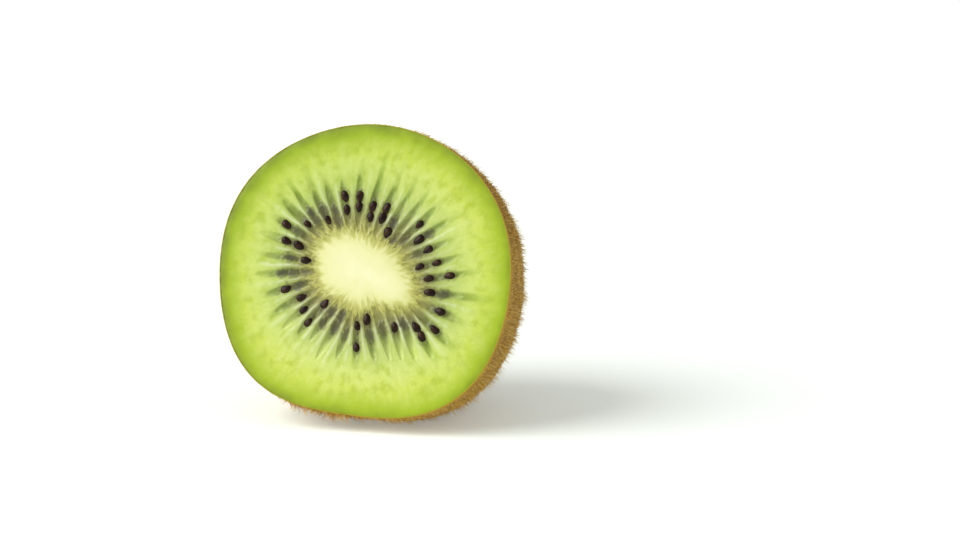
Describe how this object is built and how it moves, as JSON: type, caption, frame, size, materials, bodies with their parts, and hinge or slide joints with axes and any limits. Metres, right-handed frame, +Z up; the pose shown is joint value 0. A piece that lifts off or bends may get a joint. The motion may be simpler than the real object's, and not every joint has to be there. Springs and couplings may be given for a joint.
{
  "type": "kiwi fruit half",
  "caption": "Half a green kiwi fruit, cut across: pale core, ring of dark seeds, bright green flesh and brown fuzzy skin, leaning back on its side.",
  "frame": {"origin": "middle of the small flat on the skin that the half rests on, at the table's top", "axes": "+Z up, +X to the right of the cut face as it is looked at, -Y out of the cut face, which leans back 17 degrees from upright, so +Y is towards the stem end"},
  "size_m": [0.0517, 0.0412, 0.0507],
  "materials": {
    "flesh": "wet, translucent cut flesh, smooth between the locules",
    "core": "dense pale cream core, moist",
    "skin": "thin brown leathery skin",
    "fuzz": "short stiff golden brown hairs",
    "seed": "hard glossy near-black seed coat, wet"
  },
  "bodies": {
    "root": {"flesh_in_skin": "flesh", "core": "core"}
  },
  "joints": []
}
